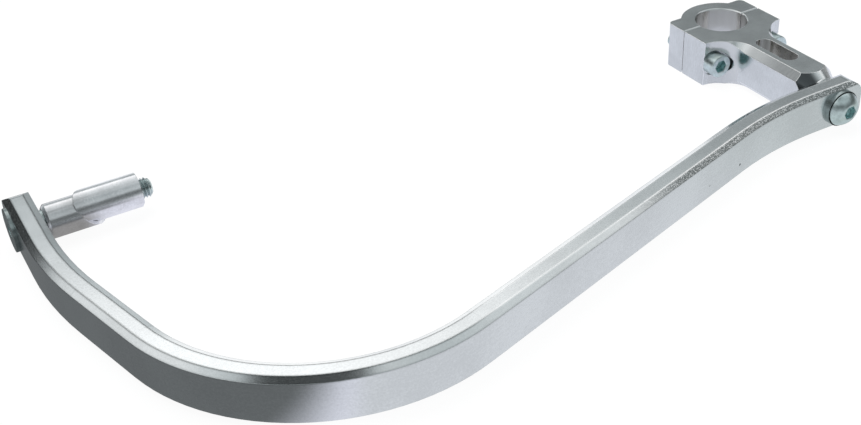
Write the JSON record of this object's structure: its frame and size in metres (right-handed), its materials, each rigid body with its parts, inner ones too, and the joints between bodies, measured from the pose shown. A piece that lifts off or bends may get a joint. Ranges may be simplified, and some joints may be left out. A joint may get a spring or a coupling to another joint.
{
  "type": "motorcycle hand guard",
  "caption": "Bent aluminium hand guard bar with an arm and split handlebar clamp at one end and an expanding bar end plug at the other.",
  "frame": {"origin": "centre of the clamp's bore, at half the clamp's height", "axes": "+Z along the clamp's bore, -Y along the arm towards the guard bar, +X from the plug's end of the bar towards the clamp's end"},
  "size_m": [0.3304, 0.1672, 0.02],
  "materials": {
    "bar_aluminium": "bright clear anodised",
    "clamp_aluminium": "satin clear anodised",
    "plug_metal": "turned, bright",
    "zinc_screws": "zinc plated, slightly blue"
  },
  "bodies": {
    "root": {"guard_bar": "bar_aluminium", "clamp_body": "clamp_aluminium", "clamp_cap": "clamp_aluminium", "clamp_screw_left": "zinc_screws", "clamp_screw_right": "zinc_screws", "pivot_screw": "zinc_screws", "pivot_washer": "zinc_screws", "plug_sleeve": "plug_metal", "plug_wedge": "plug_metal", "bar_end_bolt": "zinc_screws", "bar_end_washer": "zinc_screws"}
  },
  "joints": []
}
